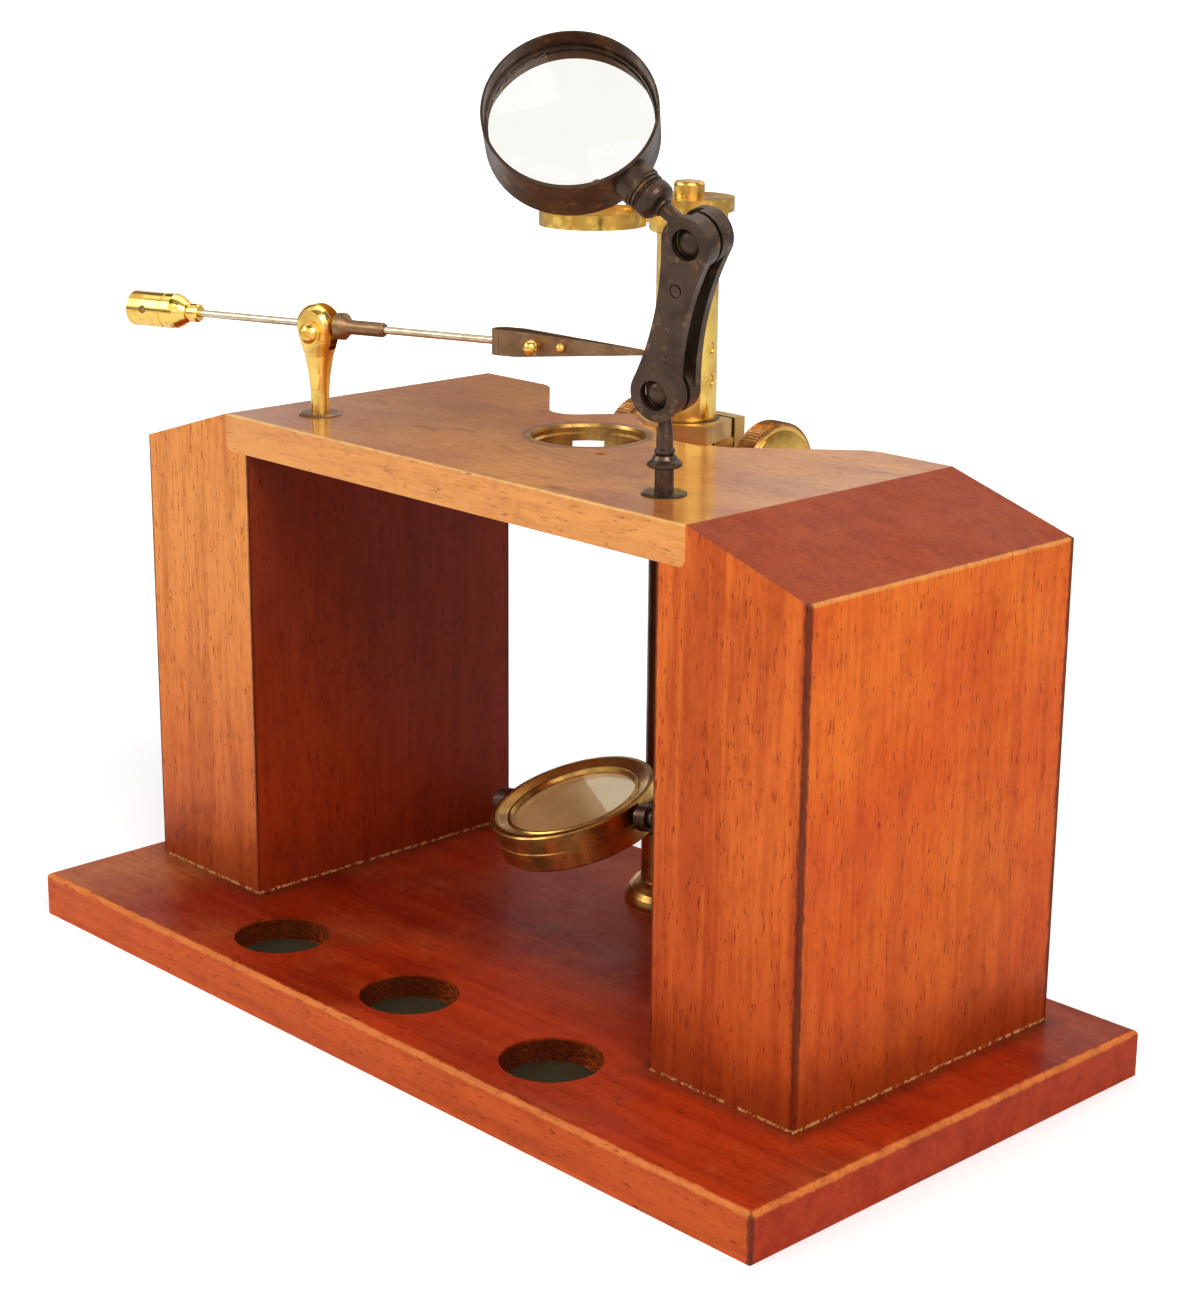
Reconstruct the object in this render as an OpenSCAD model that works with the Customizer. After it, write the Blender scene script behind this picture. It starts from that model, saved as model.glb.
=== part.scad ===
// Wooden stand with two lenses, a needle clamp and a mirror, for looking at small things.
// Millimetres, Z up. The origin is under the middle of the base board, X to the right, Y to the back.

/* [Base] */
// Width of the base board
base_w = 300; // [296:1:310]
// Depth of the base board
base_d = 153; // [150:1:160]
// Thickness of the base board
base_t = 13.5; // [12.5:0.5:15]
// Rounding of the top edges of the base
base_ease = 1.6; // [0.8:0.2:2.4]
// Radius of the three wells
well_r = 14; // [12:0.5:15]
// Depth of the wells, felt included
well_depth = 7.5; // [5:0.5:9]
// Distance between neighbouring wells
well_pitch = 58.2; // [56:0.2:62]

/* [Blocks and stage] */
// Outer face of the left block
left_out = -140.3; // [-144:0.1:-138]
// Inner face of the left block
left_in = -90.5; // [-94:0.1:-89]
// Inner face of the right block
right_in = 78.5; // [77:0.1:82]
// Outer face of the right block
right_out = 129; // [127:0.1:134]
// Front face of the blocks and the stage
block_front = -39; // [-40:0.5:-37]
// Back face of the blocks and the stage
block_back = 63; // [62.5:0.5:65]
// Height of the outer top edge of the blocks
shoulder_z = 148.7; // [145:0.1:152]
// Height of the stage's top face
stage_top = 161; // [160.5:0.1:161.5]
// Thickness of the stage board
stage_t = 11; // [10:0.5:11.5]
// Depth of the rebate that holds each end of the stage
lap = 9.6; // [8:0.2:12]
// Radius of the brass ring in the stage
ring_r = 17.6; // [17:0.1:18.5]
// Clear radius through the stage ring
stage_hole_r = 15.5; // [14.5:0.1:15.8]

/* [Pillar and focusing] */
// Outer radius of the fixed tube
tube_r = 10; // [9.95:0.05:10.05]
// Radius of the sliding column
column_r = 9; // [8.9:0.02:9.02]
// Height of the column's shoulder under the arm
column_top = 215.8; // [213:0.1:220]
// Radius of the two milled knobs
knob_r = 14.2; // [12:0.1:14.4]
// Thickness of the milled rim of a knob
knob_t = 7.4; // [5:0.2:7.6]
// Ridges round a knob
knob_ridges = 84; // [60:1:90]

/* [Lens arm] */
// Distance from the pillar to the middle of the lens ring
arm_reach = 34.3; // [33:0.1:40]
// Outer radius of the lens ring
arm_ring_r = 14.85; // [14.5:0.05:16]
// Bore of the lens ring
arm_bore_r = 12.5; // [11.5:0.1:13.2]

/* [Magnifier] */
// Height of the lower ball
ball_z = 188.1; // [187:0.1:190]
// Radius of both balls
ball_r = 5; // [4.9:0.05:5.1]
// Distance between the two balls
link_len = 42.4; // [40:0.2:46]
// Distance from the upper ball to the middle of the lens
lens_reach = 45.2; // [44.5:0.1:48]
// Outer radius of the lens frame
frame_r = 22.1; // [21.9:0.05:23]
// Length of the lens frame along its own axis
frame_len = 14.4; // [13.4:0.1:15]

/* [Needle clamp] */
// Height of the rod
rod_z = 187.4; // [187:0.1:189]
// Radius of the rod
rod_r = 1.1; // [1.06:0.01:1.12]
// Direction of the rod, turned from the X axis
rod_turn = 19.8; // [17:0.1:22]

/* [Mirror] */
// Height of the mirror's pivots
mirror_z = 53; // [50:0.5:58]
// Outer radius of the mirror cell
mirror_r = 24.4; // [24:0.1:24.6]
// Lean of the mirror towards the front
mirror_tilt = 15; // [-40:1:40]
// Turn of the fork about its stem
fork_turn = 9; // [-20:1:20]

/* [Hidden] */
$fn = 96;

stage_under = stage_top - stage_t;
stage_l = left_in - lap;
stage_r = right_in + lap;
well_y = -53.5;
well_x0 = -1.6;
felt_t = 0.8;
lap_round = 2.4;

hole = [-7.2, 18.8];
bay_mid = -5.5;
bay_v = [-36.3, 30.5];
bay_out = 137;
bay_in = 54;
bay_round = 8;
bay_half = (bay_out - bay_in) / 2;
bay_tan = bay_round / tan(bay_half);
bay_c = bay_v + bay_round / sin(bay_half) * [cos(bay_in + bay_half), sin(bay_in + bay_half)];
lip_round = 10;
lip_tan = lip_round * tan((180 - bay_out) / 2);
lip_x = bay_v[0] - (block_back - bay_v[1]) / tan(180 - bay_out);
tongue_y = 50;
channel_turn = 136.4;

screw_points = [for (x = [(left_out + left_in) / 2, (right_out + right_in) / 2], y = [-18, 42]) [x, y]];

pillar = [-3.3, 53.7];
tube_bore = column_r + 0.06;
collar_z = 156.8;
collar_t = 5.4;
tube_top = 162.5;
foot_z = 36;
pinion_y = 63.3;
pinion_z = 149.3;
module_mm = 0.5;
teeth = 12;
pitch_r = module_mm * teeth / 2;
tooth_pitch = PI * module_mm;
rack_line = pinion_y - pitch_r - 0.04;
rack_lo = 110.4;
rack_n = 57;
rack_w = 4.2;
rack_back = 53;
shaft_r = 1.6;
rack_gap = (pinion_z - rack_lo) / tooth_pitch;
rack_phase = 180 + (rack_gap - round(rack_gap)) * 360 / teeth;
left_face = -33.2;
right_face = 26;
house_half = 11;
cover_half = 10.3;
slit_front = 62.4;
slit_back = 63.8;
cover_back = 68;

arm_turn = 263.8;
arm_lo = column_top + 6;
arm_t = 3.9;

post = [60.6, -18.9];
link_az = -79.7;
link_el = -10.5;
link_roll = 161.05;
link_x = [sin(link_el) * cos(link_az), sin(link_el) * sin(link_az), -cos(link_el)];
link_y = [-sin(link_az), cos(link_az), 0];
link_dir = cos(link_roll) * link_x + sin(link_roll) * link_y;
ball_1 = [post[0], post[1], ball_z];
ball_2 = ball_1 + link_len * link_dir;
stem_az = 193;
stem_el = 34.8;
frame_roll = 134.9;
frame_bore = frame_r - 0.7;
frame_screw_turn = -25;

needle = [-81.1, -19];
slot_half = 1.95;
cheek_half = 4.6;
bow_t = 61;
bow_out = 3.4;
leaf = 0.8;
blade_half = 3.55;

mirror_dist = 44.56;
mirror_swing = 3;
fork_in = 26.3;
fork_out = 29.3;

// Small shared shapes

module along_x(x0, x1, y, z, r) {
    translate([x0, y, z]) rotate([0, 90, 0]) cylinder(h = x1 - x0, r = r);
}

module along_y(y0, y1, x, z, r) {
    translate([x, y0, z]) rotate([-90, 0, 0]) cylinder(h = y1 - y0, r = r);
}

module wedge(r, a, b) {
    polygon([[0, 0], [r * cos(a), r * sin(a)], [1.6 * r * cos((a + b) / 2), 1.6 * r * sin((a + b) / 2)],
        [r * cos(b), r * sin(b)]]);
}

// A slotted screw that stands head up on z = 0, countersunk when sunk is true
module screw(head_r, head_h, shank_r, len, sunk = false) {
    difference() {
        union() {
            if (sunk)
                translate([0, 0, -head_h]) cylinder(h = head_h, r1 = shank_r, r2 = head_r);
            else
                cylinder(h = head_h, r = head_r);
            translate([0, 0, -len]) cylinder(h = len, r = shank_r);
        }
        translate([-head_r - 1, -0.3, (sunk ? 0 : head_h) - 0.5]) cube([2 * head_r + 2, 0.6, 2]);
    }
}

// Wooden parts

module eased_profile(w, h, r) {
    translate([-w / 2, 0]) square([w, h - r]);
    translate([-w / 2 + r, 0]) square([w - 2 * r, h]);
    for (s = [-1, 1]) translate([s * (w / 2 - r), h - r]) circle(r = r);
}

module base_board() {
    color("#7a2f16") difference() {
        intersection() {
            translate([0, base_d / 2, 0]) rotate([90, 0, 0])
                linear_extrude(base_d) eased_profile(base_w, base_t, base_ease);
            translate([-base_w / 2, 0, 0]) rotate([90, 0, 90])
                linear_extrude(base_w) eased_profile(base_d, base_t, base_ease);
        }
        for (i = [-1:1]) translate([well_x0 + i * well_pitch, well_y, base_t - well_depth]) {
            cylinder(h = well_depth, r = well_r - 0.6);
            translate([0, 0, felt_t]) cylinder(h = well_depth, r = well_r);
        }
        translate([pillar[0], pillar[1], -1]) cylinder(h = base_t + 2, r = 5.1);
        translate([pillar[0], pillar[1], -1]) cylinder(h = 6.5, r = 10.5);
        for (p = screw_points) translate([p[0], p[1], -1]) {
            cylinder(h = base_t + 2, r = 2.05);
            translate([0, 0, 1]) cylinder(h = 3, r1 = 4.6, r2 = 2.05);
            cylinder(h = 1.01, r = 4.6);
        }
    }
}

module well_felts() {
    color("#4b4f38") for (i = [-1:1])
        translate([well_x0 + i * well_pitch, well_y, base_t - well_depth])
            cylinder(h = felt_t, r = well_r - 0.7);
}

// Cross-section of the stage board, with its lower end corners rounded
module stage_section() {
    translate([stage_l, stage_under + lap_round]) square([stage_r - stage_l, stage_t - lap_round]);
    translate([stage_l + lap_round, stage_under]) square([stage_r - stage_l - 2 * lap_round, stage_t]);
    for (x = [stage_l + lap_round, stage_r - lap_round])
        translate([x, stage_under + lap_round]) circle(r = lap_round);
}

// Outline of a block seen from the front, with the rebate that takes the end of the stage
module block_profile(x_out, x_in, x_lap) {
    difference() {
        polygon([[x_out, base_t], [x_in, base_t], [x_in, stage_top], [x_lap, stage_top],
            [x_out, shoulder_z]]);
        stage_section();
    }
}

module block(x_out, x_in, x_lap) {
    difference() {
        translate([0, block_back, 0]) rotate([90, 0, 0])
            linear_extrude(block_back - block_front) block_profile(x_out, x_in, x_lap);
        for (y = [-18, 42]) translate([(x_out + x_in) / 2, y, base_t - 1]) cylinder(h = 29, r = 2.05);
    }
}

module left_block() {
    color("#a8512a") block(left_out, left_in, stage_l);
}

module right_block() {
    color("#a8512a") block(right_out, right_in, stage_r);
}

module block_screws() {
    color("#8d8a80") for (p = screw_points)
        translate([p[0], p[1], 0.6]) rotate([180, 0, 0]) screw(4, 2.4, 2, 39, true);
}

// Outline of the collar plate, grown by g for the recess that takes it
module collar_plan(g) {
    translate(pillar) polygon([
        [14.8 + 1.2 * g, -6.2 - 0.4 * g],
        [3.5 + 0.3 * g, -12.4 - g],
        [-3.5 - 0.3 * g, -12.4 - g],
        [-12.6 - 1.2 * g, -6.8 - 0.4 * g],
        [-10.3 - g, 8.7],
        [10.3 + g, 8.7]]);
}

// One V-shaped bay in the back of the stage, where a milled head turns
module bay() {
    far = 70;
    uo = [cos(bay_out), sin(bay_out)];
    ui = [cos(bay_in), sin(bay_in)];
    polygon([
        bay_v + bay_tan * uo,
        bay_v + far * uo,
        [bay_mid, bay_v[1] + far],
        [bay_mid, bay_v[1] + (bay_mid - bay_v[0]) * tan(bay_in)],
        bay_v + bay_tan * ui]);
    translate(bay_c) circle(r = bay_round);
    difference() {
        polygon([
            [lip_x - lip_tan, block_back],
            [lip_x - lip_tan, block_back + 5],
            [lip_x + 5, block_back + 5],
            [lip_x + lip_tan * cos(180 - bay_out), block_back - lip_tan * sin(180 - bay_out)]]);
        translate([lip_x - lip_tan, block_back - lip_round]) circle(r = lip_round);
    }
}

module stage_board() {
    color("#b8703f") difference() {
        translate([0, block_back, 0]) rotate([90, 0, 0]) linear_extrude(block_back - block_front)
            stage_section();
        translate([0, 0, stage_under - 1]) linear_extrude(stage_t + 2) union() {
            bay();
            translate([2 * bay_mid, 0]) mirror([1, 0]) bay();
            translate([-30, tongue_y]) square([50, 20]);
            translate(pillar) circle(r = tube_r + 0.1);
        }
        translate([0, 0, collar_z]) linear_extrude(20) {
            collar_plan(0.15);
            polygon([[8, 31.2], [26, 31.2], [26, 52], [-3, 52], [-3, 41.3]]);
        }
        collar_screw_places() {
            translate([0, 0, -1]) cylinder(h = 12, r = 0.74);
            translate([0, 0, -1]) cylinder(h = 1.5, r = 1.4);
        }
        translate([hole[0], hole[1], stage_under - 1]) cylinder(h = stage_t + 2, r = ring_r - 0.8);
        translate([hole[0], hole[1], stage_top - 2.5]) cylinder(h = 3, r = ring_r + 0.02);
        channel(stage_under - 1, 34);
        translate([13.9, 3.7, stage_top - 5]) cylinder(h = 6, r = 1.7);
        translate([post[0], post[1], stage_under + 1]) cylinder(h = stage_t, r = 4);
        translate([needle[0], needle[1], stage_under + 1]) cylinder(h = stage_t, r = 4.2);
    }
}

// Straight groove under the stage from the light hole to the left bay
module channel(z0, len) {
    translate([hole[0], hole[1], z0]) rotate([0, 0, channel_turn])
        translate([10, -4.6, 0]) cube([len - 10, 9.2, 156.2 - z0]);
}

module stage_ring() {
    color("#b58a35") difference() {
        translate([hole[0], hole[1], 0]) rotate_extrude() polygon([[stage_hole_r, stage_under],
            [ring_r - 0.85, stage_under], [ring_r - 0.85, stage_top - 2.5], [ring_r, stage_top - 2.5],
            [ring_r, stage_top], [ring_r - 1.2, stage_top], [ring_r - 1.5, stage_top - 0.9],
            [ring_r - 1.5, stage_top - 2.2], [stage_hole_r, stage_top - 2.8]]);
        channel(stage_under - 1, 34);
    }
}

// Pillar, focusing slide and milled heads

module pillar_foot() {
    color("#a97f35") translate([pillar[0], pillar[1], 0]) difference() {
        rotate_extrude() polygon([[0, 1], [5, 1], [5, base_t], [15.6, base_t], [15.8, base_t + 0.3],
            [15.8, base_t + 1.3], [15.4, base_t + 2.6], [14.4, base_t + 4.4], [13, base_t + 5.9],
            [11.4, base_t + 6.9], [11, base_t + 7.4], [11, foot_z - 0.5], [10.6, foot_z], [0, foot_z]]);
        translate([0, 0, base_t + 3]) cylinder(h = 40, r = tube_r + 0.02);
    }
}

module pillar_nut() {
    color("#8d6a2c") translate([pillar[0], pillar[1], 1]) difference() {
        cylinder(h = 4.5, r = 9.5);
        translate([0, 0, -1]) cylinder(h = 7, r = 5.05);
        for (a = [0, 90]) rotate([0, 0, a]) translate([-12, -0.9, -1]) cube([24, 1.8, 2.4]);
    }
}

module pillar_tube() {
    color("#a97f35") difference() {
        translate([pillar[0], pillar[1], base_t + 3]) cylinder(h = tube_top - base_t - 3, r = tube_r);
        translate([pillar[0], pillar[1], base_t + 7]) cylinder(h = tube_top, r = tube_bore);
        along_x(pillar[0] - 2.5, pillar[0] + 2.5, pinion_y, pinion_z, pitch_r + 0.8);
        along_x(pillar[0] - 12, pillar[0] + 12, pinion_y, pinion_z, shaft_r + 0.3);
    }
}

module pillar_collar() {
    color("#b08a4a") difference() {
        translate([0, 0, collar_z]) linear_extrude(collar_t) difference() {
            collar_plan(0);
            translate(pillar) circle(r = tube_r + 0.02);
        }
        collar_screw_places() cylinder(h = 10.6, r = 0.74);
    }
}

// Two screws that come up through the tongue of the stage into the collar
module collar_screw_places() {
    for (s = [-1, 1]) translate([pillar[0] + 8.3 * s, pillar[1] - 8.1, stage_under]) children();
}

module collar_screws() {
    color("#9c7a38") collar_screw_places() union() {
        translate([0, 0, 0.1]) cylinder(h = 0.35, r = 1.3);
        translate([0, 0, 0.4]) cylinder(h = 9.8, r = 0.7);
    }
}

module cover_points(y) {
    for (x = [-1, 1], z = [143, 155]) translate([pillar[0] + 8.5 * x, y, z]) rotate([-90, 0, 0])
        children();
}

module pinion_cuts() {
    along_x(-40, 40, pinion_y, pinion_z, shaft_r + 0.05);
    along_x(pillar[0] - 2.5, pillar[0] + 2.5, pinion_y, pinion_z, pitch_r + 0.8);
}

module pinion_housing() {
    color("#b08a4a") difference() {
        union() {
            translate([pillar[0] - house_half, pillar[1] + 1, 139])
                cube([2 * house_half, slit_front - pillar[1] - 1, collar_z - 139]);
            translate([pillar[0], pillar[1], 139]) cylinder(h = stage_under - 139.5, r = house_half);
        }
        translate([pillar[0], pillar[1], 130]) cylinder(h = 40, r = tube_r + 0.02);
        translate([pillar[0] - 20, slit_front, 130]) cube([40, 20, 40]);
        pinion_cuts();
        cover_points(60.55) cylinder(h = 10, r = 1.1);
    }
}

module pinion_cover() {
    color("#b08a4a") difference() {
        translate([pillar[0] - cover_half, slit_back, 139])
            cube([2 * cover_half, cover_back - slit_back, collar_z + collar_t - 139]);
        translate([pillar[0], pillar[1], 130]) cylinder(h = 40, r = tube_r + 0.1);
        pinion_cuts();
        cover_points(58) cylinder(h = 14, r = 1.1);
    }
}

module cover_screws() {
    color("#8a6c34") cover_points(cover_back) screw(1.7, 0.9, 1.05, 7.3);
}

module column() {
    color("#c79a3b") difference() {
        union() {
            translate([pillar[0], pillar[1], 72]) cylinder(h = column_top - 72, r = column_r);
            translate([pillar[0], pillar[1], column_top - 1]) cylinder(h = 6.9, r = 8);
        }
        translate([pillar[0] - rack_w / 2, rack_back, rack_lo]) cube([rack_w, 20, rack_n * tooth_pitch]);
        translate([pillar[0] - 8, pinion_y - shaft_r - 0.3, 60])
            cube([16, 20, rack_lo + rack_n * tooth_pitch - 60]);
        translate([pillar[0], pillar[1], column_top - 12]) cylinder(h = 30, r = 3);
        rack_screw_places() translate([0, 0, -8]) cylinder(h = 8, r = 1.02);
        rack_screw_places() translate([0, 0, -1.3]) cylinder(h = 3, r = 1.7);
    }
}

// Two screws let into the right side of the column, pointing at the rack
module rack_screw_places() {
    for (z = [174, 183.4]) translate([pillar[0], pillar[1], z]) rotate([0, 0, 6]) rotate([0, 90, 0])
        translate([0, 0, column_r]) children();
}

module rack_screws() {
    color("#9c7a38") rack_screw_places() translate([0, 0, -1.3]) difference() {
        union() {
            cylinder(h = 1, r = 1.6);
            translate([0, 0, -6.2]) cylinder(h = 6.3, r = 1);
        }
        translate([-0.25, -3, 0.6]) cube([0.5, 6, 1]);
    }
}

module rack() {
    p = tooth_pitch;
    tooth = [[-0.55, 0.27], [0.36, 0.62], [0.36, 0.95], [-0.55, 1.3]];
    color("#b8913f") difference() {
        translate([pillar[0] - rack_w / 2, 0, 0]) rotate([90, 0, 90]) linear_extrude(rack_w)
            polygon(concat(
                [[rack_back, rack_lo]],
                [for (i = [0:rack_n - 1], q = tooth) [rack_line + q[0], rack_lo + i * p + q[1]]],
                [[rack_back, rack_lo + rack_n * p]]));
        rack_screw_places() translate([0, 0, -10]) cylinder(h = 10, r = 1.02);
    }
}

module pinion() {
    flank = [[2.4, -6.6], [3.36, -2.6], [3.36, 2.6], [2.4, 6.6]];
    color("#9a8a6a") union() {
        translate([pillar[0] - 1.9, pinion_y, pinion_z]) rotate([90, 0, 90]) linear_extrude(3.8)
            polygon([for (i = [0:teeth - 1], q = flank) let (a = rack_phase + i * 360 / teeth + q[1])
                q[0] * [cos(a), sin(a)]]);
        along_x(left_face + 4.2, right_face - 4, pinion_y, pinion_z, shaft_r);
    }
}

module knob_body() {
    difference() {
        union() {
            translate([0, 0, -knob_t + 0.7]) linear_extrude(knob_t - 1.4)
                polygon([for (i = [0:2 * knob_ridges - 1])
                    (knob_r - (i % 2) * 0.3) * [cos(i * 180 / knob_ridges), sin(i * 180 / knob_ridges)]]);
            translate([0, 0, -knob_t]) cylinder(h = 0.7, r1 = knob_r - 1, r2 = knob_r - 0.5);
            translate([0, 0, -0.7]) cylinder(h = 0.7, r1 = knob_r - 0.5, r2 = knob_r - 1.1);
            intersection() {
                translate([0, 0, -89]) sphere(r = 90);
                translate([0, 0, -0.1]) cylinder(h = 3, r = knob_r - 2.2);
            }
            translate([0, 0, -16.6]) cylinder(h = 12, r = 4.2);
            translate([0, 0, -16.6]) cylinder(h = 1.2, r = 5);
        }
        translate([0, 0, -20]) cylinder(h = 16, r = shaft_r);
    }
}

module right_knob() {
    color("#c79a3b") translate([right_face, pinion_y, pinion_z]) rotate([0, 90, 0]) knob_body();
}

module left_knob() {
    color("#c79a3b") translate([left_face, pinion_y, pinion_z]) rotate([0, -90, 0]) knob_body();
}

// Arm with the empty lens ring

module arm_seat() {
    color("#c79a3b") translate([pillar[0], pillar[1], column_top]) rotate_extrude()
        polygon([[8.02, 0], [10.6, 0], [11.3, 0.7], [11.3, 5], [10.7, 5.9], [8.02, 5.9]]);
}

module arm_screw() {
    color("#c79a3b") translate([pillar[0], pillar[1], arm_lo + arm_t + 0.02]) union() {
        rotate_extrude() intersection() {
            union() {
                square([3, 4.6]);
                square([4.45, 3.1]);
                translate([2.95, 3.1]) circle(r = 1.5);
            }
            union() {
                translate([0, -15.4]) circle(r = 20);
                square([1, 1]);
            }
        }
        translate([0, 0, -arm_t - 12.9]) cylinder(h = arm_t + 13, r = 3);
    }
}

module lens_arm() {
    color("#c79a3b") translate([pillar[0], pillar[1], 0]) rotate([0, 0, arm_turn]) difference() {
        union() {
            translate([0, 0, arm_lo]) cylinder(h = arm_t, r = 13);
            translate([0, 0, arm_lo - 1.8]) linear_extrude(4.1) difference() {
                polygon([[9, -8], [19.6, -4.6], [24, -5.2], [24, 5.2], [19.6, 4.6], [9, 8]]);
                circle(r = 11.6);
            }
            translate([arm_reach, 0, arm_lo - 1.8]) cylinder(h = 4.1, r = arm_ring_r);
        }
        translate([0, 0, 200]) cylinder(h = 50, r = 3.06);
        translate([arm_reach, 0, 200]) cylinder(h = 50, r = arm_bore_r);
        translate([arm_reach, 0, arm_lo + 1.4]) cylinder(h = 5, r = arm_bore_r + 1.1);
    }
}

// Magnifier on its ball-jointed link

module magnifier_socket() {
    color("#3d2f22") translate([post[0], post[1], 0]) rotate_extrude()
        polygon([[2.55, stage_under + 1], [3.9, stage_under + 1], [3.9, stage_top], [6, stage_top],
            [6, stage_top + 0.3], [5.2, stage_top + 0.7], [2.55, stage_top + 0.7]]);
}

module magnifier_post() {
    z = ball_z - 20;
    color("#3d2f22") translate([post[0], post[1], 0]) union() {
        rotate_extrude() polygon([[0, stage_under + 1.4], [2.5, stage_under + 1.4], [2.5, z], [4.1, z],
            [4.6, z + 0.4], [4.6, z + 1.1], [4.2, z + 1.5], [3.4, z + 2.1], [2.9, z + 3.1],
            [2.3, z + 3.3],
            [2.7, z + 3.8], [2.7, z + 4.5], [2.2, z + 5.1], [2.1, z + 9], [1.6, z + 12.4], [1.6, z + 19],
            [0, z + 19]]);
        translate([0, 0, ball_z]) sphere(r = ball_r);
    }
}

module on_link() {
    translate(ball_1) rotate([0, 90 - link_el, link_az]) rotate([0, 0, link_roll]) children();
}

// Outline of a link plate: two round ends and a long hollow-sided waist
module link_plan() {
    end_r = 7;
    waist = 4.55;
    cut_r = (pow(link_len / 2, 2) + waist * waist - end_r * end_r) / (2 * (end_r - waist));
    circle(r = end_r);
    translate([link_len, 0]) circle(r = end_r);
    difference() {
        translate([0, -end_r + 0.3]) square([link_len, 2 * end_r - 0.6]);
        for (s = [-1, 1]) translate([link_len / 2, s * (waist + cut_r)]) circle(r = cut_r);
    }
}

module link_plate() {
    color("#3d2f22") difference() {
        union() {
            translate([0, 0, 3]) linear_extrude(2.5) link_plan();
            translate([0, 0, 0.6]) linear_extrude(2.6) {
                intersection() {
                    circle(r = 7);
                    wedge(12, -115, -35);
                }
                translate([link_len, 0]) intersection() {
                    circle(r = 7);
                    wedge(12, -145, 12);
                }
            }
        }
        for (x = [0, link_len]) translate([x, 0, 0]) {
            sphere(r = ball_r + 0.04);
            cylinder(h = 8, r = 4);
        }
        translate([10.6, 0, -8]) cylinder(h = 16, r = 1.72);
        translate([link_len - 12.6, 0, -8]) cylinder(h = 16, r = 1.42);
        translate([link_len - 12.6, 0, 4.9]) cylinder(h = 3, r = 1.75);
    }
}

module link_front() {
    on_link() link_plate();
}

module link_back() {
    on_link() mirror([0, 0, 1]) link_plate();
}

module link_screws() {
    color("#2f261d") on_link() {
        translate([10.6, 0, -5.6]) cylinder(h = 11.2, r = 1.7);
        translate([link_len - 12.6, 0, -5.3]) cylinder(h = 10.9, r = 1.4);
    }
}

module on_stem() {
    translate(ball_2) rotate([0, 90 - stem_el, stem_az]) children();
}

module magnifier_stem() {
    color("#3d2f22") on_stem() union() {
        sphere(r = ball_r);
        rotate_extrude() polygon([[0, 3], [2, 3], [2, 11.4], [2.5, 11.8], [2.6, 12.4],
            [4.2, 13.2], [4.95, 14],
            [5.15, 15], [5.15, 16.6], [4.6, 17.2], [2, 17.2], [2, 20.8], [0, 20.8]]);
    }
}

module on_frame() {
    on_stem() rotate([0, 0, frame_roll]) translate([0, 0, lens_reach]) rotate([0, 90, 0]) children();
}

module lens_frame() {
    h = frame_len / 2;
    color("#4a3826") difference() {
        union() {
            on_frame() rotate_extrude() polygon([[frame_bore, -h], [frame_r - 0.3, -h],
                [frame_r, -h + 0.4],
                [frame_r, h - 0.4], [frame_r - 0.3, h], [frame_bore, h], [frame_bore, -1.05],
                [frame_bore - 0.8, -1.05], [frame_bore - 0.8, -2.2], [frame_bore, -2.2]]);
            difference() {
                on_stem() rotate_extrude() polygon([[2.05, 17.25], [4.6, 17.25], [4.6, 17.6],
                    [5.15, 17.8],
                    [5.15, 18.4], [4.7, 18.5], [4.7, 18.8], [5.2, 18.9], [5.2, 19.5], [5.5, 19.8],
                    [5.5, 25.4],
                    [0, 25.4], [0, 21], [2.05, 21]]);
                on_frame() cylinder(h = 40, r = frame_bore + 0.3, center = true);
            }
        }
        on_frame() frame_screw_hole();
    }
}

module frame_screw_hole() {
    rotate([0, 0, frame_screw_turn]) translate([frame_bore - 2, 0, 5]) rotate([0, 90, 0])
        cylinder(h = 4, r = 0.62);
}

module lens() {
    curve_r = 75;
    color("#dfe6e2") on_frame() intersection() {
        cylinder(h = 12, r = frame_bore - 0.1, center = true);
        translate([0, 0, 3.8 - curve_r]) sphere(r = curve_r, $fn = 360);
        translate([0, 0, curve_r - 3.8]) sphere(r = curve_r, $fn = 360);
    }
}

module lens_keeper() {
    color("#4a3826") on_frame() translate([0, 0, 1.05]) difference() {
        cylinder(h = 0.7, r = frame_bore);
        translate([0, 0, -1]) cylinder(h = 4, r = frame_bore - 0.6);
    }
}

module frame_screw() {
    color("#2f261d") on_frame() rotate([0, 0, frame_screw_turn]) translate([frame_bore - 0.95, 0, 5])
        rotate([0, 90, 0]) union() {
            cylinder(h = 0.88, r = 1.1);
            cylinder(h = 1.6, r = 0.6);
        }
}

// Needle clamp: post, rod, cork cell and spring blades

module forceps_socket() {
    color("#6b4f2a") translate([needle[0], needle[1], 0]) rotate_extrude()
        polygon([[2.75, stage_under + 1], [4.1, stage_under + 1], [4.1, stage_top], [6.3, stage_top],
            [6.3, stage_top + 0.3], [5.5, stage_top + 0.7], [2.75, stage_top + 0.7]]);
}

module on_rod() {
    translate([needle[0], needle[1], rod_z]) rotate([0, 0, rod_turn]) children();
}

module forceps_post() {
    color("#b98c34") on_rod() difference() {
        intersection() {
            union() {
                rotate_extrude() polygon([[0, stage_under + 1.4 - rod_z],
                    [2.7, stage_under + 1.4 - rod_z],
                    [2.7, -19.9], [2.75, -19], [3.3, -14], [4.2, -9], [5.4, -5], [6.2, -1], [0, -1]]);
                sphere(r = 6.3);
            }
            translate([-10, -cheek_half, -50]) cube([20, 2 * cheek_half, 80]);
        }
        translate([-10, -slot_half, -7]) cube([20, 2 * slot_half, 20]);
        translate([0, 0, -2]) along_y(-10, 0, 0, 0, 1.62);
    }
}

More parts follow.
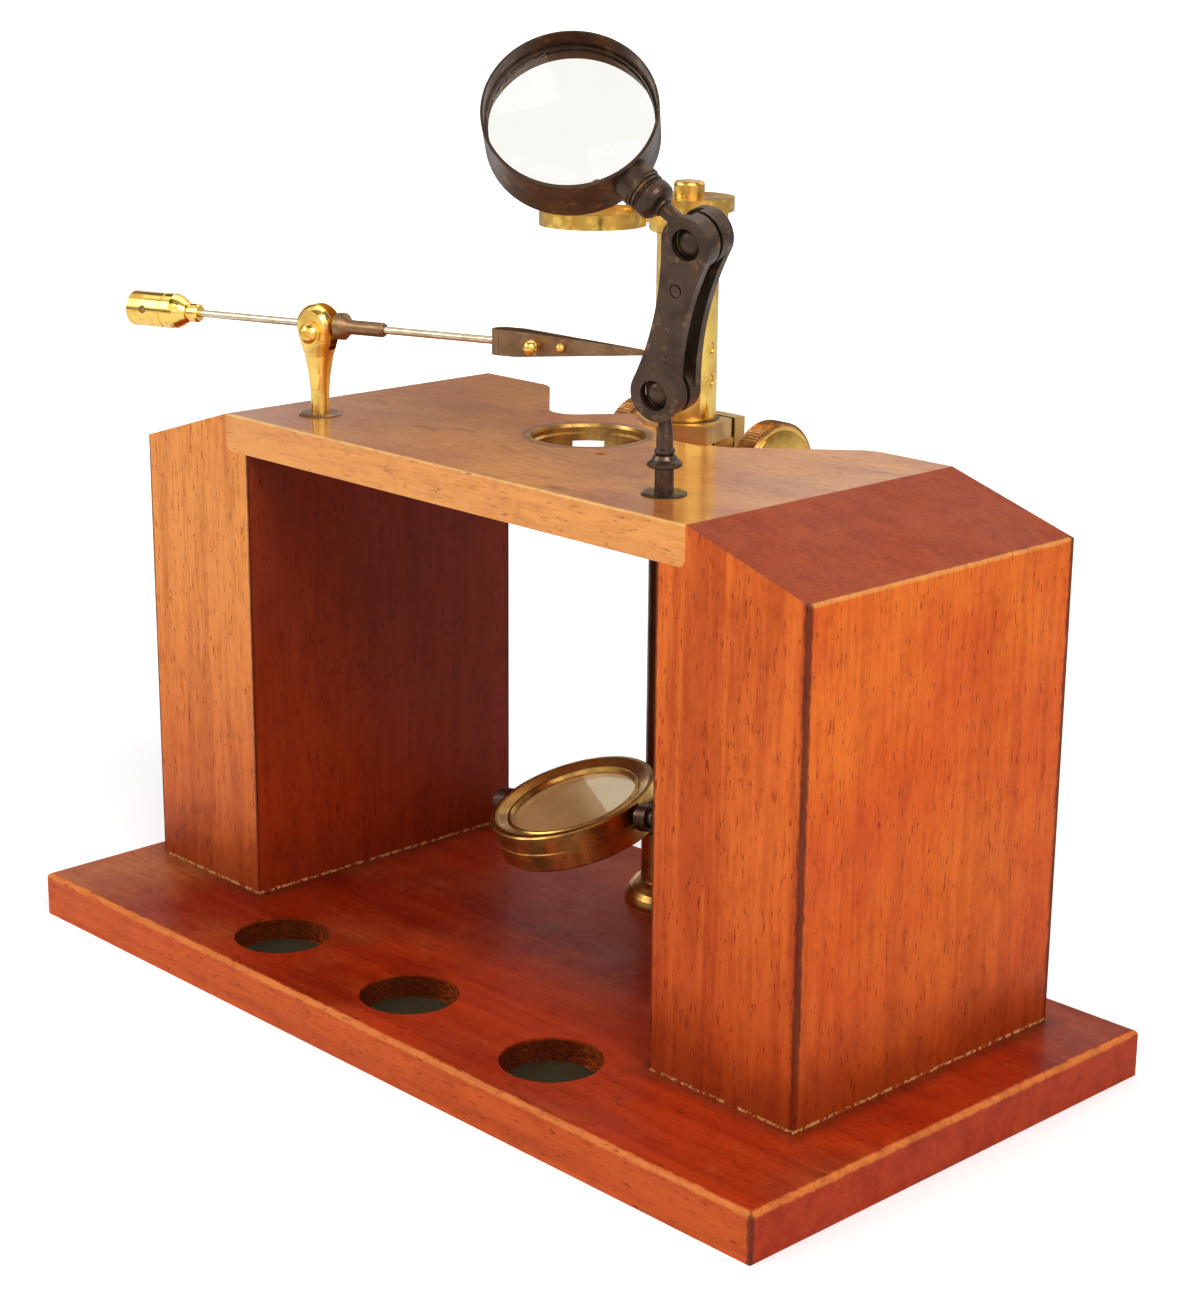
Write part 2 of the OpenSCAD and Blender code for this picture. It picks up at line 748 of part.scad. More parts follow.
module forceps_clamp() {
    color("#b98c34") on_rod() translate([0, -cheek_half, -2]) rotate([90, 0, 0]) difference() {
        union() {
            cylinder(h = 0.9, r = 3.5);
            intersection() {
                cylinder(h = 2.7, r = 2.9);
                translate([0, 0, -0.6]) sphere(r = 3.5);
            }
            translate([0, 0, slot_half - cheek_half]) cylinder(h = cheek_half - slot_half + 0.1, r = 1.6);
        }
        rotate([0, 0, 62]) translate([-0.35, -5, 2]) cube([0.7, 10, 2]);
    }
}

module rod_swivel() {
    color("#6b4f2a") on_rod() difference() {
        union() {
            translate([0, 0, -2]) along_y(-slot_half + 0.05, slot_half - 0.05, 0, 0, 4.4);
            along_x(0, 9.5, 0, 0, 1.75);
        }
        along_x(-10, 20, 0, 0, rod_r + 0.04);
    }
}

module rod_sleeve() {
    color("#5a4529") on_rod() rotate([0, 90, 0]) rotate_extrude()
        polygon([[1.8, 6.5], [3.4, 6.5], [3.9, 7], [3.9, 9], [2.5, 10.4], [2.1, 10.8],
            [2.1, 21.8], [1.8, 22.3],
            [rod_r + 0.03, 22.3], [rod_r + 0.03, 9.6], [1.8, 9.6]]);
}

module forceps_rod() {
    color("#b9b4a4") on_rod() along_x(-46.6, 58.4, 0, 0, rod_r);
}

module cork_cell() {
    color("#b99a58") on_rod() difference() {
        rotate([0, 90, 0]) rotate_extrude() polygon([[4.7, -64.5], [5.1, -64.5], [5.2, -64.3], [5.2, -53],
            [5.05, -52.9], [5.05, -52.6], [5.25, -52.5], [5.25, -49.5], [4.9, -48.4], [4, -46.8],
            [2.9, -45.2],
            [2.3, -44.8], [2.3, -44.4], [2.75, -44.1], [2.75, -41.8], [2.3, -41.2], [rod_r, -41.2],
            [rod_r, -46.8], [2, -46.8], [2, -49.4], [4.7, -49.4]]);
        along_y(-10, 0, -58.6, 0.6, 1.2);
    }
}

module cork() {
    color("#a77b4c") on_rod() along_x(-64.2, -50, 0, 0, 4.66);
}

module forceps_bow() {
    color("#6d5336") on_rod() difference() {
        translate([bow_t, 0, -blade_half]) cylinder(h = 2 * blade_half, r = bow_out);
        translate([bow_t, 0, -5]) cylinder(h = 10, r = bow_out - leaf);
        translate([bow_t, -10, -10]) cube([20, 20, 20]);
        along_x(50, 60, 0, 0, rod_r + 0.01);
    }
}

// One spring blade on the side s (-1 front, 1 back), from the bow to the tip
module blade(s) {
    t = bow_t + 0.12;
    intersection() {
        translate([0, 0, -5]) linear_extrude(10) polygon([[t, s * bow_out], [t, s * (bow_out - leaf)],
            [66, s * (bow_out - leaf)], [105, s * 0.06], [105, s * 0.5], [98, s * 1.1],
            [66, s * bow_out]]);
        translate([0, 10, 0]) rotate([90, 0, 0]) linear_extrude(20) polygon([[t, -blade_half],
            [t, blade_half],
            [66.3, blade_half], [103.8, 1.15], [105, 0.5], [105, -0.2], [103.8, -0.4],
            [66.3, -blade_half]]);
    }
}

module front_blade() {
    color("#6d5336") on_rod() difference() {
        blade(-1);
        along_y(-10, 0, 72.6, 0, 1.2);
        along_y(-10, 0, 80.2, 0, 0.72);
    }
}

module back_blade() {
    color("#6d5336") on_rod() difference() {
        blade(1);
        along_y(0, 10, 80.2, 0, 1.2);
        along_y(0, 10, 72.6, 0, 0.72);
    }
}

// Stud of one blade: a shank from y0 to y1 and a push button of radius r at its outer end
module blade_stud(t, y0, y1, r) {
    out = sign(y1 - y0);
    along_y(min(y0, y1), max(y0, y1), t, 0, 0.7);
    along_y(min(y1, y1 + 0.6 * out), max(y1, y1 + 0.6 * out), t, 0, r * 0.72);
    translate([t, y1 + 1.5 * out, 0]) sphere(r = r);
}

module back_stud() {
    color("#a77d3a") on_rod() union() {
        blade_stud(72.6, 4.2, -4.6, 2.2);
        translate([72.6, 4.2, 0]) sphere(r = 1.15);
    }
}

module front_stud() {
    color("#a77d3a") on_rod() union() {
        blade_stud(80.2, -2.6, 5.2, 1.6);
        translate([80.2, -2.6, 0]) intersection() {
            sphere(r = 1.45);
            translate([-3, -5, -3]) cube([6, 5.1, 6]);
        }
    }
}

// Mirror on its fork

module on_collar() {
    translate([pillar[0], pillar[1], mirror_z]) rotate([0, 0, mirror_swing]) children();
}

module on_fork() {
    on_collar() translate([0, -mirror_dist, 0]) rotate([0, -fork_turn, 0]) children();
}

module on_mirror() {
    on_fork() rotate([mirror_tilt, 0, 0]) children();
}

module mirror_collar() {
    color("#4a3826") on_collar() difference() {
        union() {
            translate([0, 0, -13]) rotate_extrude() polygon([[tube_r + 0.06, 0], [12.7, 0], [13.2, 0.5],
                [13.2, 11.5], [12.7, 12], [tube_r + 0.06, 12]]);
            difference() {
                along_y(-14.9, -10.5, 0, 0, 4.6);
                cylinder(h = 20, r = tube_r + 0.06, center = true);
            }
        }
        along_y(-20, -10, 0, 0, 2.45);
    }
}

module mirror_fork() {
    color("#4a3826") on_fork() difference() {
        union() {
            difference() {
                translate([0, 0, -2.2]) cylinder(h = 4.4, r = fork_out);
                translate([0, 0, -5]) cylinder(h = 10, r = fork_in);
                translate([-40, -40, -10]) cube([80, 40, 20]);
            }
            for (s = [-1, 1]) rotate([0, s * 90, 0]) translate([0, 0, fork_in - 0.1])
                cylinder(h = 4.1, r = 4);
            along_y(28.6, 29.6, 0, 0, 3.6);
            along_y(28.6, mirror_dist - 10.6, 0, 0, 2.4);
        }
        along_x(-40, 40, 0, 0, 1.52);
    }
}

module pivot_screws() {
    color("#4a3a2a") on_fork() for (s = [-1, 1]) rotate([0, s * 90, 0]) translate([0, 0, 30.3])
        rotate([0, 0, 25])
        screw(2.9, 1.7, 1.5, 7.7);
}

module mirror_cell() {
    color("#a5792f") on_mirror() difference() {
        rotate_extrude() polygon([[20.6, -1.9], [mirror_r + 0.35, -1.9], [mirror_r + 0.35, -1.3],
            [mirror_r, -1.1], [mirror_r, 3], [mirror_r + 0.4, 3.15], [mirror_r + 0.4, 4], [mirror_r, 4.4],
            [mirror_r - 1.2, 4.6], [mirror_r - 1.8, 4.4], [19.9, 3.2], [19.6, 3.5], [19, 3.5],
            [18.4, 2.5],
            [18.4, 1.95], [20.6, 1.95]]);
        for (s = [-1, 1]) rotate([0, s * 90, 0]) translate([0, 0, 22.3]) cylinder(h = 5, r = 1.55);
    }
}

module mirror_back_cell() {
    color("#a5792f") on_mirror() rotate_extrude() polygon([[20.6, -1.9], [mirror_r, -1.9],
        [mirror_r, -6.4],
        [mirror_r - 0.6, -7], [mirror_r - 1.8, -7], [18.3, -5.4], [18.3, -4.6], [20.6, -4.6]]);
}

module plane_mirror() {
    color("#b9b2a0") on_mirror() translate([0, 0, -0.7]) cylinder(h = 2.6, r = 20.5);
}

module concave_mirror() {
    color("#b9b2a0") on_mirror() difference() {
        translate([0, 0, -4.55]) cylinder(h = 2.45, r = 20.5);
        translate([0, 0, -3.3 - 120]) sphere(r = 120, $fn = 360);
    }
}

module mirror_packing() {
    color("#7a6a4a") on_mirror() translate([0, 0, -2.1]) cylinder(h = 1.4, r = 20.2);
}

base_board();
left_block();
right_block();
stage_board();
stage_ring();
well_felts();
block_screws();
pillar_foot();
pillar_nut();
pillar_tube();
pillar_collar();
collar_screws();
pinion_housing();
pinion_cover();
cover_screws();
column();
rack();
rack_screws();
arm_seat();
arm_screw();
pinion();
right_knob();
left_knob();
lens_arm();
magnifier_socket();
magnifier_post();
link_front();
link_back();
link_screws();
magnifier_stem();
lens_frame();
lens();
lens_keeper();
frame_screw();
forceps_socket();
forceps_post();
forceps_clamp();
rod_swivel();
rod_sleeve();
forceps_rod();
cork_cell();
cork();
forceps_bow();
front_blade();
front_stud();
back_blade();
back_stud();
mirror_collar();
mirror_fork();
pivot_screws();
mirror_cell();
mirror_back_cell();
plane_mirror();
concave_mirror();
mirror_packing();
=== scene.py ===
import math

import bpy
from mathutils import Matrix, Vector


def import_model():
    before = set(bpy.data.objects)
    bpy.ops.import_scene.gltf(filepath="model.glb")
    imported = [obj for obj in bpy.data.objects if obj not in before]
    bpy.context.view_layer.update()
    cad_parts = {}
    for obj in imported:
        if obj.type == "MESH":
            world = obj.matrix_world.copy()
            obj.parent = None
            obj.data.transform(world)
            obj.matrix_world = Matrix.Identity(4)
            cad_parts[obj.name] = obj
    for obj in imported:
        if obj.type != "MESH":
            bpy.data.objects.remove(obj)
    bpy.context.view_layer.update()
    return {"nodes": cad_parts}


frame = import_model()
NODES = frame["nodes"]
scene = bpy.context.scene

# The scene is in metres; the materials work in millimetres of the part's frame
MM = 1000.0
X, Y, Z = range(3)
WHITE = (1.0, 1.0, 1.0)
# Paint on a flat face is whole down to the first depth and gone below the second
SKIN_FULL, SKIN_END = 0.05, 0.3
# Two coordinates closer than this are the same
NEAR = 0.05


# Node trees

class Nodes:
    """A node tree; each method adds nodes and returns the output socket that carries the result."""

    def __init__(self, tree):
        self.tree = tree
        self.tree.nodes.clear()

    def node(self, kind, **props):
        n = self.tree.nodes.new(kind)
        for key, value in props.items():
            setattr(n, key, value)
        return n

    def put(self, socket, value):
        """Link an output socket to this one, or give it a plain value."""
        if hasattr(value, "is_output"):
            self.tree.links.new(value, socket)
        elif isinstance(value, (tuple, list)) and len(value) == 3 and socket.type == "RGBA":
            socket.default_value = (*value, 1.0)
        else:
            socket.default_value = value

    def add(self, kind, *values, **props):
        """A new node with its first inputs filled in order."""
        n = self.node(kind, **props)
        for socket, value in zip(n.inputs, values):
            self.put(socket, value)
        return n.outputs[0]

    def times(self, a, b):
        return self.add("ShaderNodeMath", a, b, operation="MULTIPLY")

    def plus(self, a, b):
        return self.add("ShaderNodeMath", a, b, operation="ADD")

    def minus(self, a, b):
        return self.add("ShaderNodeMath", a, b, operation="SUBTRACT")

    def larger(self, a, b):
        return self.add("ShaderNodeMath", a, b, operation="MAXIMUM")

    def gap(self, a, b):
        """Distance between two values, never negative."""
        return self.add("ShaderNodeMath", self.minus(a, b), operation="ABSOLUTE")

    def vec(self, x, y, z):
        return self.add("ShaderNodeCombineXYZ", x, y, z)

    def xyz(self, v):
        n = self.node("ShaderNodeSeparateXYZ")
        self.put(n.inputs[0], v)
        return list(n.outputs)

    def dist(self, a, b):
        n = self.node("ShaderNodeVectorMath", operation="DISTANCE")
        self.put(n.inputs[0], a)
        self.put(n.inputs[1], b)
        return n.outputs["Value"]

    def clouds(self, at, scale, detail, rough=0.5, warp=0.0):
        """Noise from 0 to 1, with scale in cells to each unit of the coordinate."""
        n = self.node("ShaderNodeTexNoise")
        for key, value in (("Vector", at), ("Scale", scale), ("Detail", detail),
                           ("Roughness", rough), ("Distortion", warp)):
            self.put(n.inputs[key], value)
        return n.outputs[0]

    def step(self, v, lo, hi, a=0.0, b=1.0):
        """Smooth step from a at lo to b at hi; lo may be the larger one."""
        return self.add("ShaderNodeMapRange", v, lo, hi, a, b, interpolation_type="SMOOTHSTEP")

    def mix(self, fac, a, b, blend="MIX"):
        n = self.node("ShaderNodeMix", data_type="RGBA", blend_type=blend)
        self.put(n.inputs[0], fac)
        self.put(n.inputs[6], a)
        self.put(n.inputs[7], b)
        return n.outputs[2]

    def ramp(self, fac, *stops):
        """Colour ramp between two stops, each a position and a colour."""
        n = self.node("ShaderNodeValToRGB")
        for element, (position, colour) in zip(n.color_ramp.elements, stops):
            element.position = position
            element.color = (*colour, 1)
        self.put(n.inputs[0], fac)
        return n.outputs[0]

    def join(self, fac, a, b):
        """Mix of two shaders."""
        return self.add("ShaderNodeMixShader", fac, a, b)


class Mat(Nodes):
    """A material with one Principled shader."""

    def __init__(self, name):
        self.mat = bpy.data.materials.new(name)
        self.mat.use_nodes = True
        super().__init__(self.mat.node_tree)
        self.out = self.node("ShaderNodeOutputMaterial")
        self.bsdf = self.node("ShaderNodeBsdfPrincipled")
        self.put(self.out.inputs["Surface"], self.bsdf.outputs[0])
        space = self.node("ShaderNodeTexCoord")
        self.facing = space.outputs["Normal"]
        scaled = self.node("ShaderNodeVectorMath", operation="SCALE")
        self.put(scaled.inputs[0], space.outputs["Object"])
        self.put(scaled.inputs["Scale"], MM)
        self.place = scaled.outputs[0]

    def noise(self, scale, detail, rough, stretch=None, warp=0.0):
        """Noise through the solid, scale in cells to the millimetre; a stretch under 1 draws it out."""
        at = self.place
        if stretch is not None:
            at = self.add("ShaderNodeVectorMath", at, stretch, operation="MULTIPLY")
        return self.clouds(at, scale, detail, rough, warp)

    def cells(self, scale):
        """Distance from the nearest of many scattered points."""
        n = self.node("ShaderNodeTexVoronoi", feature="F1")
        self.put(n.inputs["Vector"], self.place)
        self.put(n.inputs["Scale"], scale)
        return n.outputs["Distance"]

    def paint(self, col, colour, where, share=1.0):
        """Lay a colour over another where a mask says so."""
        return self.mix(where if share == 1.0 else self.times(where, share), col, colour)

    def tone(self, col, colour, where, share=1.0):
        """Multiply by a colour where a mask says so."""
        return self.mix(where if share == 1.0 else self.times(where, share), col, colour, "MULTIPLY")

    def skin(self, v, face, inward):
        """One on a flat face and zero below it; inward is the sign of the way into the wood."""
        return self.step(v, face + SKIN_END * inward, face + SKIN_FULL * inward)

    def bump(self, height, strength, depth):
        """Relief of a height from 0 to 1, with its depth in millimetres."""
        n = self.node("ShaderNodeBump")
        self.put(n.inputs["Strength"], strength)
        self.put(n.inputs["Distance"], depth / MM)
        self.put(n.inputs["Height"], height)
        return n.outputs[0]

    def set(self, **kw):
        """Fill inputs of the shader, named with _ for each space."""
        for key, value in kw.items():
            self.put(self.bsdf.inputs[key.replace("_", " ")], value)
        return self.mat


def dress(mat, *names):
    """Give nodes their material."""
    for name in names:
        me = NODES[name].data
        me.materials.clear()
        me.materials.append(mat)


# Places in millimetres, read from the solids

def corners(name):
    return [MM * (NODES[name].matrix_world @ v.co) for v in NODES[name].data.vertices]


def span(name):
    """Lowest and highest corner of a node's box."""
    pts = corners(name)
    return [tuple(f(p[i] for p in pts) for i in range(3)) for f in (min, max)]


def middle(name):
    lo, hi = span(name)
    return tuple((a + b) / 2 for a, b in zip(lo, hi))


def half_size(name, axis):
    lo, hi = span(name)
    return (hi[axis] - lo[axis]) / 2


BASE_LO, BASE_HI = span("base_board")
BASE_TOP = BASE_HI[Z]
BLOCKS = [span("left_block"), span("right_block")]
LEFT_OUT, LEFT_IN = (corner[X] for corner in BLOCKS[0])
RIGHT_IN, RIGHT_OUT = (corner[X] for corner in BLOCKS[1])
FRONT, BACK = (corner[Y] for corner in BLOCKS[0])
# Height at which the blocks' outer faces meet their slopes
SHOULDER = max(p[Z] for p in corners("left_block") if abs(p[X] - LEFT_OUT) < NEAR)
STAGE_TOP = span("stage_board")[1][Z]
LIGHT_RING, LIGHT_RING_R = middle("stage_ring"), half_size("stage_ring", X)
KNOB, KNOB_R = middle("right_knob"), half_size("right_knob", Z)
# The three felts are one node, so its box gives their radius and all three places
FELT_LO, FELT_HI = span("well_felts")
FELT_R = half_size("well_felts", Y)
WELL_Y = middle("well_felts")[Y]
WELLS_X = (FELT_LO[X] + FELT_R, middle("well_felts")[X], FELT_HI[X] - FELT_R)


# Wood

def along(axis, share):
    """Scale that draws a pattern out along one axis."""
    return tuple(share if i == axis else 1.0 for i in range(3))


def wood(name, grain, colour, dark, pores, rough, wear_and_painted_light, coat=0.04, spec=0.1, band=0.25,
         tint=(0.93, 0.83, 0.50)):
    """Polished mahogany.

    grain is the axis that the fibres follow, pores and band are the strength of the open pores
    and of the broad dark bands. The given function of M and col paints what is peculiar to one board,
    its wear and stains and its painted light and shade, before the grain darkens it.
    """
    M = Mat(name)
    fine = M.noise(0.7, 6, 0.66, along(grain, 0.10), warp=0.3)
    broad = M.noise(0.13, 5, 0.6, along(grain, 0.05), warp=0.8)
    pore = M.noise(1.5, 3, 0.55, along(grain, 0.20), warp=0.2)
    mottle = M.noise(0.14, 5, 0.65)
    smear = M.noise(0.035, 5, 0.6)
    pit = M.step(pore, 0.60, 0.70, 0.0, pores)

    col = wear_and_painted_light(M, M.mix(M.step(broad, 0.3, 0.7), dark, colour))
    col = M.tone(col, (0.62, 0.36, 0.22), M.step(fine, 0.42, 0.70), 0.42)
    col = M.tone(col, (0.60, 0.42, 0.30), M.step(broad, 0.55, 0.38), band)
    col = M.tone(col, (0.66, 0.48, 0.36), M.step(mottle, 0.50, 0.68), 0.35)
    col = M.tone(col, (0.38, 0.20, 0.12), pit)
    col = M.tone(col, tint, 1.0)

    relief = M.minus(M.times(fine, 0.5), pit)
    return M.set(Base_Color=col, Roughness=M.step(smear, 0.3, 0.7, rough - 0.05, rough + 0.12),
                 Coat_Weight=coat, Coat_Roughness=0.13, Specular_IOR_Level=spec,
                 Normal=M.bump(relief, strength=0.3, depth=0.12))


def arris(M, a, a_at, b, b_at, width):
    """One along the edge where two coordinates have the given values, with a ragged border."""
    away = M.larger(M.gap(a, a_at), M.gap(b, b_at))
    ragged = M.times(M.minus(M.noise(0.35, 3, 0.6), 0.5), width)
    return M.step(M.plus(away, ragged), width, width * 0.4)


def outside(M, v, lo, hi):
    """How far a coordinate lies beyond the stretch from lo to hi, negative within it."""
    return M.minus(M.gap(v, (lo + hi) / 2), (hi - lo) / 2)


def well_walls(M, col, x, y, z):
    """Torn wood round the felts with painted shade in its hollows, darkest on the left."""
    # Colours: painted shade in the torn hollows, the torn wood itself, and painted shade on the left of each
    # wall
    hollow, torn_wood, shade = (0.045, 0.008, 0.003), (0.52, 0.105, 0.030), (0.030, 0.006, 0.003)
    wall_r = (FELT_R + 1.3, FELT_R + 0.9)
    rim = (BASE_TOP - 0.1, BASE_TOP - 1.1)
    below_rim = M.step(z, *rim)
    torn = M.step(M.noise(0.9, 4, 0.7, stretch=(1, 1, 2.5)), 0.36, 0.66)
    for well_x in WELLS_X:
        off_axis = M.dist(M.vec(x, y, 0.0), M.vec(well_x, WELL_Y, 0.0))
        wall = M.times(M.step(off_axis, *wall_r), below_rim)
        in_shade = M.step(x, well_x + 4, well_x - 7, 0, 0.8)
        cut = M.paint(M.mix(torn, hollow, torn_wood), shade, in_shade)
        col = M.paint(col, cut, wall, 0.95)
    return col


def foot_shade(M, x, y):
    """Painted shade mask: one close round the feet of the blocks, with a border that wanders by a few
    millimetres.
    """
    outer, inner, wander = 9.0, 2.0, 5.0
    near_foot_shade = 0.0
    for lo, hi in BLOCKS:
        away = M.larger(outside(M, x, lo[X], hi[X]), outside(M, y, lo[Y], hi[Y]))
        away = M.plus(away, M.times(M.noise(0.25, 4, 0.65), wander))
        near_foot_shade = M.larger(near_foot_shade, M.step(away, outer, inner))
    return near_foot_shade


def board_wear_and_painted_light(M, col):
    """Base board: a deep red top with dust, wells, painted shade round the blocks, on the right end and at
    the right front corner, and painted highlights along the front and right upper arrises.
    """
    x, y, z = M.xyz(M.place)
    top = M.skin(z, BASE_TOP, -1)
    front = M.skin(y, BASE_LO[Y], 1)
    side = M.skin(x, BASE_HI[X], -1)

    # The top: two reds in clouds, warm fields, rubbed spots and a trace of the bare grain
    deep_red, dull_red, warm_red = (0.20, 0.011, 0.003), (0.30, 0.055, 0.026), (0.43, 0.034, 0.007)
    rubbed = (0.42, 0.16, 0.08)
    dull = M.noise(0.022, 6, 0.68, stretch=(0.7, 1, 1))
    reds = M.mix(M.step(dull, 0.40, 0.62), deep_red, dull_red)
    reds = M.paint(reds, warm_red, M.step(M.noise(0.012, 4, 0.55), 0.42, 0.64, 0, 0.8))
    reds = M.paint(reds, rubbed, M.step(M.noise(0.16, 5, 0.7), 0.60, 0.72, 0, 0.35))
    reds = M.paint(reds, col, 0.15)
    col = M.paint(col, reds, top)

    # The front edge in long streaks, and the plain right end darkened with painted shade
    front_light, front_red, end_red = (0.72, 0.16, 0.035), (0.55, 0.075, 0.018), (0.40, 0.035, 0.007)
    streaks = M.noise(0.2, 4, 0.6, stretch=(0.05, 1, 1))
    col = M.paint(col, M.mix(streaks, front_light, front_red), front, 0.85)
    col = M.paint(col, end_red, side, 0.75)

    # Wells, painted shade round the feet of the blocks, and dust that thickens towards the left front corner
    dark_surround, dust = (0.070, 0.018, 0.010), (0.46, 0.17, 0.08)
    dust_x, dust_y = (-96, -130), (-30, -50)
    col = well_walls(M, col, x, y, z)
    col = M.paint(col, dark_surround, M.times(foot_shade(M, x, y), top), 0.6)
    corner = M.times(M.times(M.step(x, *dust_x), M.step(y, *dust_y)), top)
    col = M.paint(col, dust, M.times(corner, M.step(dull, 0.3, 0.6, 0.2, 0.7)))

    # Painted highlights along the upper arrises, and painted shade along the dark upright one at the right
    # front corner
    pale_arris, dark = (0.80, 0.30, 0.11), (0.05, 0.010, 0.005)
    rim = BASE_TOP - 0.5
    rims = M.larger(arris(M, y, BASE_LO[Y], z, rim, 1.5), arris(M, x, BASE_HI[X], z, rim, 1.5))
    col = M.paint(col, pale_arris, rims, 0.6)
    return M.paint(col, dark, arris(M, x, BASE_HI[X], y, BASE_LO[Y], 1.6), 0.7)


def block_wear_and_painted_light(M, col):
    """Side blocks: bright outer and dark inner faces and a pale left front, partly painted light and shade,
    painted highlights and shade along the edges, and feet darker towards the bottom.
    """
    x, y, z = M.xyz(M.place)
    nx, ny, nz = M.xyz(M.facing)
    slope = M.step(nz, 0.5, 0.8)
    front = M.step(ny, -0.8, -0.95)
    right = M.step(nx, 0.8, 0.95)
    on_left = M.step(x, 0, -60)

    # Faces that look to the right: clouds of orange and gold outside, partly painted light, and dark under
    # the stage, partly painted shade
    orange, gold, dark_inside = (0.66, 0.10, 0.012), (0.78, 0.19, 0.026), (0.20, 0.020, 0.007)
    bright = M.mix(M.step(M.noise(0.016, 5, 0.6), 0.35, 0.65), orange, gold)
    col = M.paint(col, bright, right, 0.85)
    col = M.paint(col, dark_inside, M.times(right, on_left), 0.9)

    # Heights between which the wood reddens downwards, and the left front pales upwards: partly the wood's
    # own tone, partly painted shade low down and painted light higher up
    red, deep_red, pale = (0.52, 0.055, 0.012), (0.40, 0.040, 0.009), (0.86, 0.40, 0.17)
    red_fade, pale_rise = (110, 13), (20, 140)
    col = M.paint(col, M.mix(M.noise(0.03, 4, 0.6), red, deep_red), M.step(z, *red_fade), 0.55)
    faded = M.times(M.times(front, on_left), M.step(z, *pale_rise, 0.15, 0.75))
    col = M.paint(col, pale, faded)
    col = M.paint(col, (0.27, 0.040, 0.011), slope, 0.85)

    # Painted highlight along the outer shoulders, and painted shade along the rounded upright edges at front
    # and back
    light_edge, dark_edge = (0.85, 0.42, 0.16), (0.10, 0.014, 0.006)
    for outer in (LEFT_OUT, RIGHT_OUT):
        col = M.paint(col, light_edge, arris(M, x, outer, z, SHOULDER, 1.0), 0.7)
    for at, width in ((RIGHT_OUT, 2.0), (RIGHT_IN, 0.8), (LEFT_OUT, 0.8), (LEFT_IN, 0.9)):
        for face in (FRONT, BACK):
            col = M.paint(col, dark_edge, arris(M, x, at, y, face, width), 0.85)

    # Darker towards the foot, climbing unevenly, and a line of crumbs on the board
    low_dark, crumb = (0.22, 0.024, 0.008), (0.85, 0.55, 0.32)
    low_dark_fade, climb = (56, 32), 30.0
    crumb_line = (BASE_TOP + 1.0, BASE_TOP + 0.6)
    uneven_z = M.plus(z, M.times(M.noise(0.06, 4, 0.6), climb))
    col = M.paint(col, low_dark, M.step(uneven_z, *low_dark_fade), 0.62)
    crumbs = M.times(M.step(z, *crumb_line), M.step(M.noise(0.6, 4, 0.7), 0.45, 0.55))
    return M.paint(col, crumb, crumbs, 0.75)


def stage_wear(M, col):
    """Stage: a faded, spotted and scratched top, dark round the light hole."""
    x, y, z = M.xyz(M.place)
    _, ny, nz = M.xyz(M.facing)
    top = M.step(nz, 0.6, 0.9)
    front = M.step(ny, -0.6, -0.9)

    # The top: faded brown in blotches, browner to the left, with spots and long scratches
    brown, faded, left_brown = (0.44, 0.14, 0.045), (0.66, 0.28, 0.095), (0.42, 0.14, 0.050)
    spot, scratch = (0.20, 0.045, 0.016), (0.70, 0.34, 0.16)
    browner = (10, -90)
    blotch = M.noise(0.03, 6, 0.62, stretch=(0.5, 1, 1))
    spots = M.noise(0.12, 4, 0.65, stretch=(0.35, 1, 1))
    scratches = M.noise(0.5, 3, 0.6, stretch=(0.08, 1, 1))
    browns = M.mix(M.step(blotch, 0.35, 0.68), brown, faded)
    browns = M.paint(browns, left_brown, M.step(x, *browner, 0, 0.55))
    browns = M.paint(browns, spot, M.step(spots, 0.62, 0.72, 0, 0.65))
    browns = M.paint(browns, scratch, M.step(scratches, 0.66, 0.74, 0, 0.4))

    col = M.paint(col, browns, top)

    # The light front edge with its rubbed arris, and dirt round the brass ring
    front_light, pale_arris, dark_surround = (0.86, 0.38, 0.12), (0.92, 0.62, 0.36), (0.10, 0.025, 0.010)
    dirt_r = (LIGHT_RING_R + 2.0, LIGHT_RING_R + 0.2)
    col = M.paint(col, front_light, front, 0.7)
    col = M.paint(col, pale_arris, arris(M, y, FRONT, z, STAGE_TOP, 0.8), 0.7)
    off_axis = M.dist(M.vec(x, y, 0.0), M.vec(LIGHT_RING[X], LIGHT_RING[Y], 0.0))
    return M.paint(col, dark_surround, M.times(M.step(off_axis, *dirt_r), top), 0.7)


dress(wood("mahogany_board_m", X, (0.52, 0.075, 0.016), (0.30, 0.030, 0.008),
           pores=0.75, rough=0.38, wear_and_painted_light=board_wear_and_painted_light),
      "base_board")
dress(wood("mahogany_block_m", Z, (0.80, 0.19, 0.040), (0.60, 0.11, 0.024),
           pores=0.85, rough=0.40, wear_and_painted_light=block_wear_and_painted_light),
      "left_block", "right_block")
dress(wood("mahogany_stage_m", X, (0.70, 0.26, 0.07), (0.48, 0.14, 0.035),
           pores=0.7, rough=0.32, wear_and_painted_light=stage_wear, coat=0.85, spec=0.15, band=0.1, tint=(1.0, 0.92, 0.45)),
      "stage_board")


# Metals

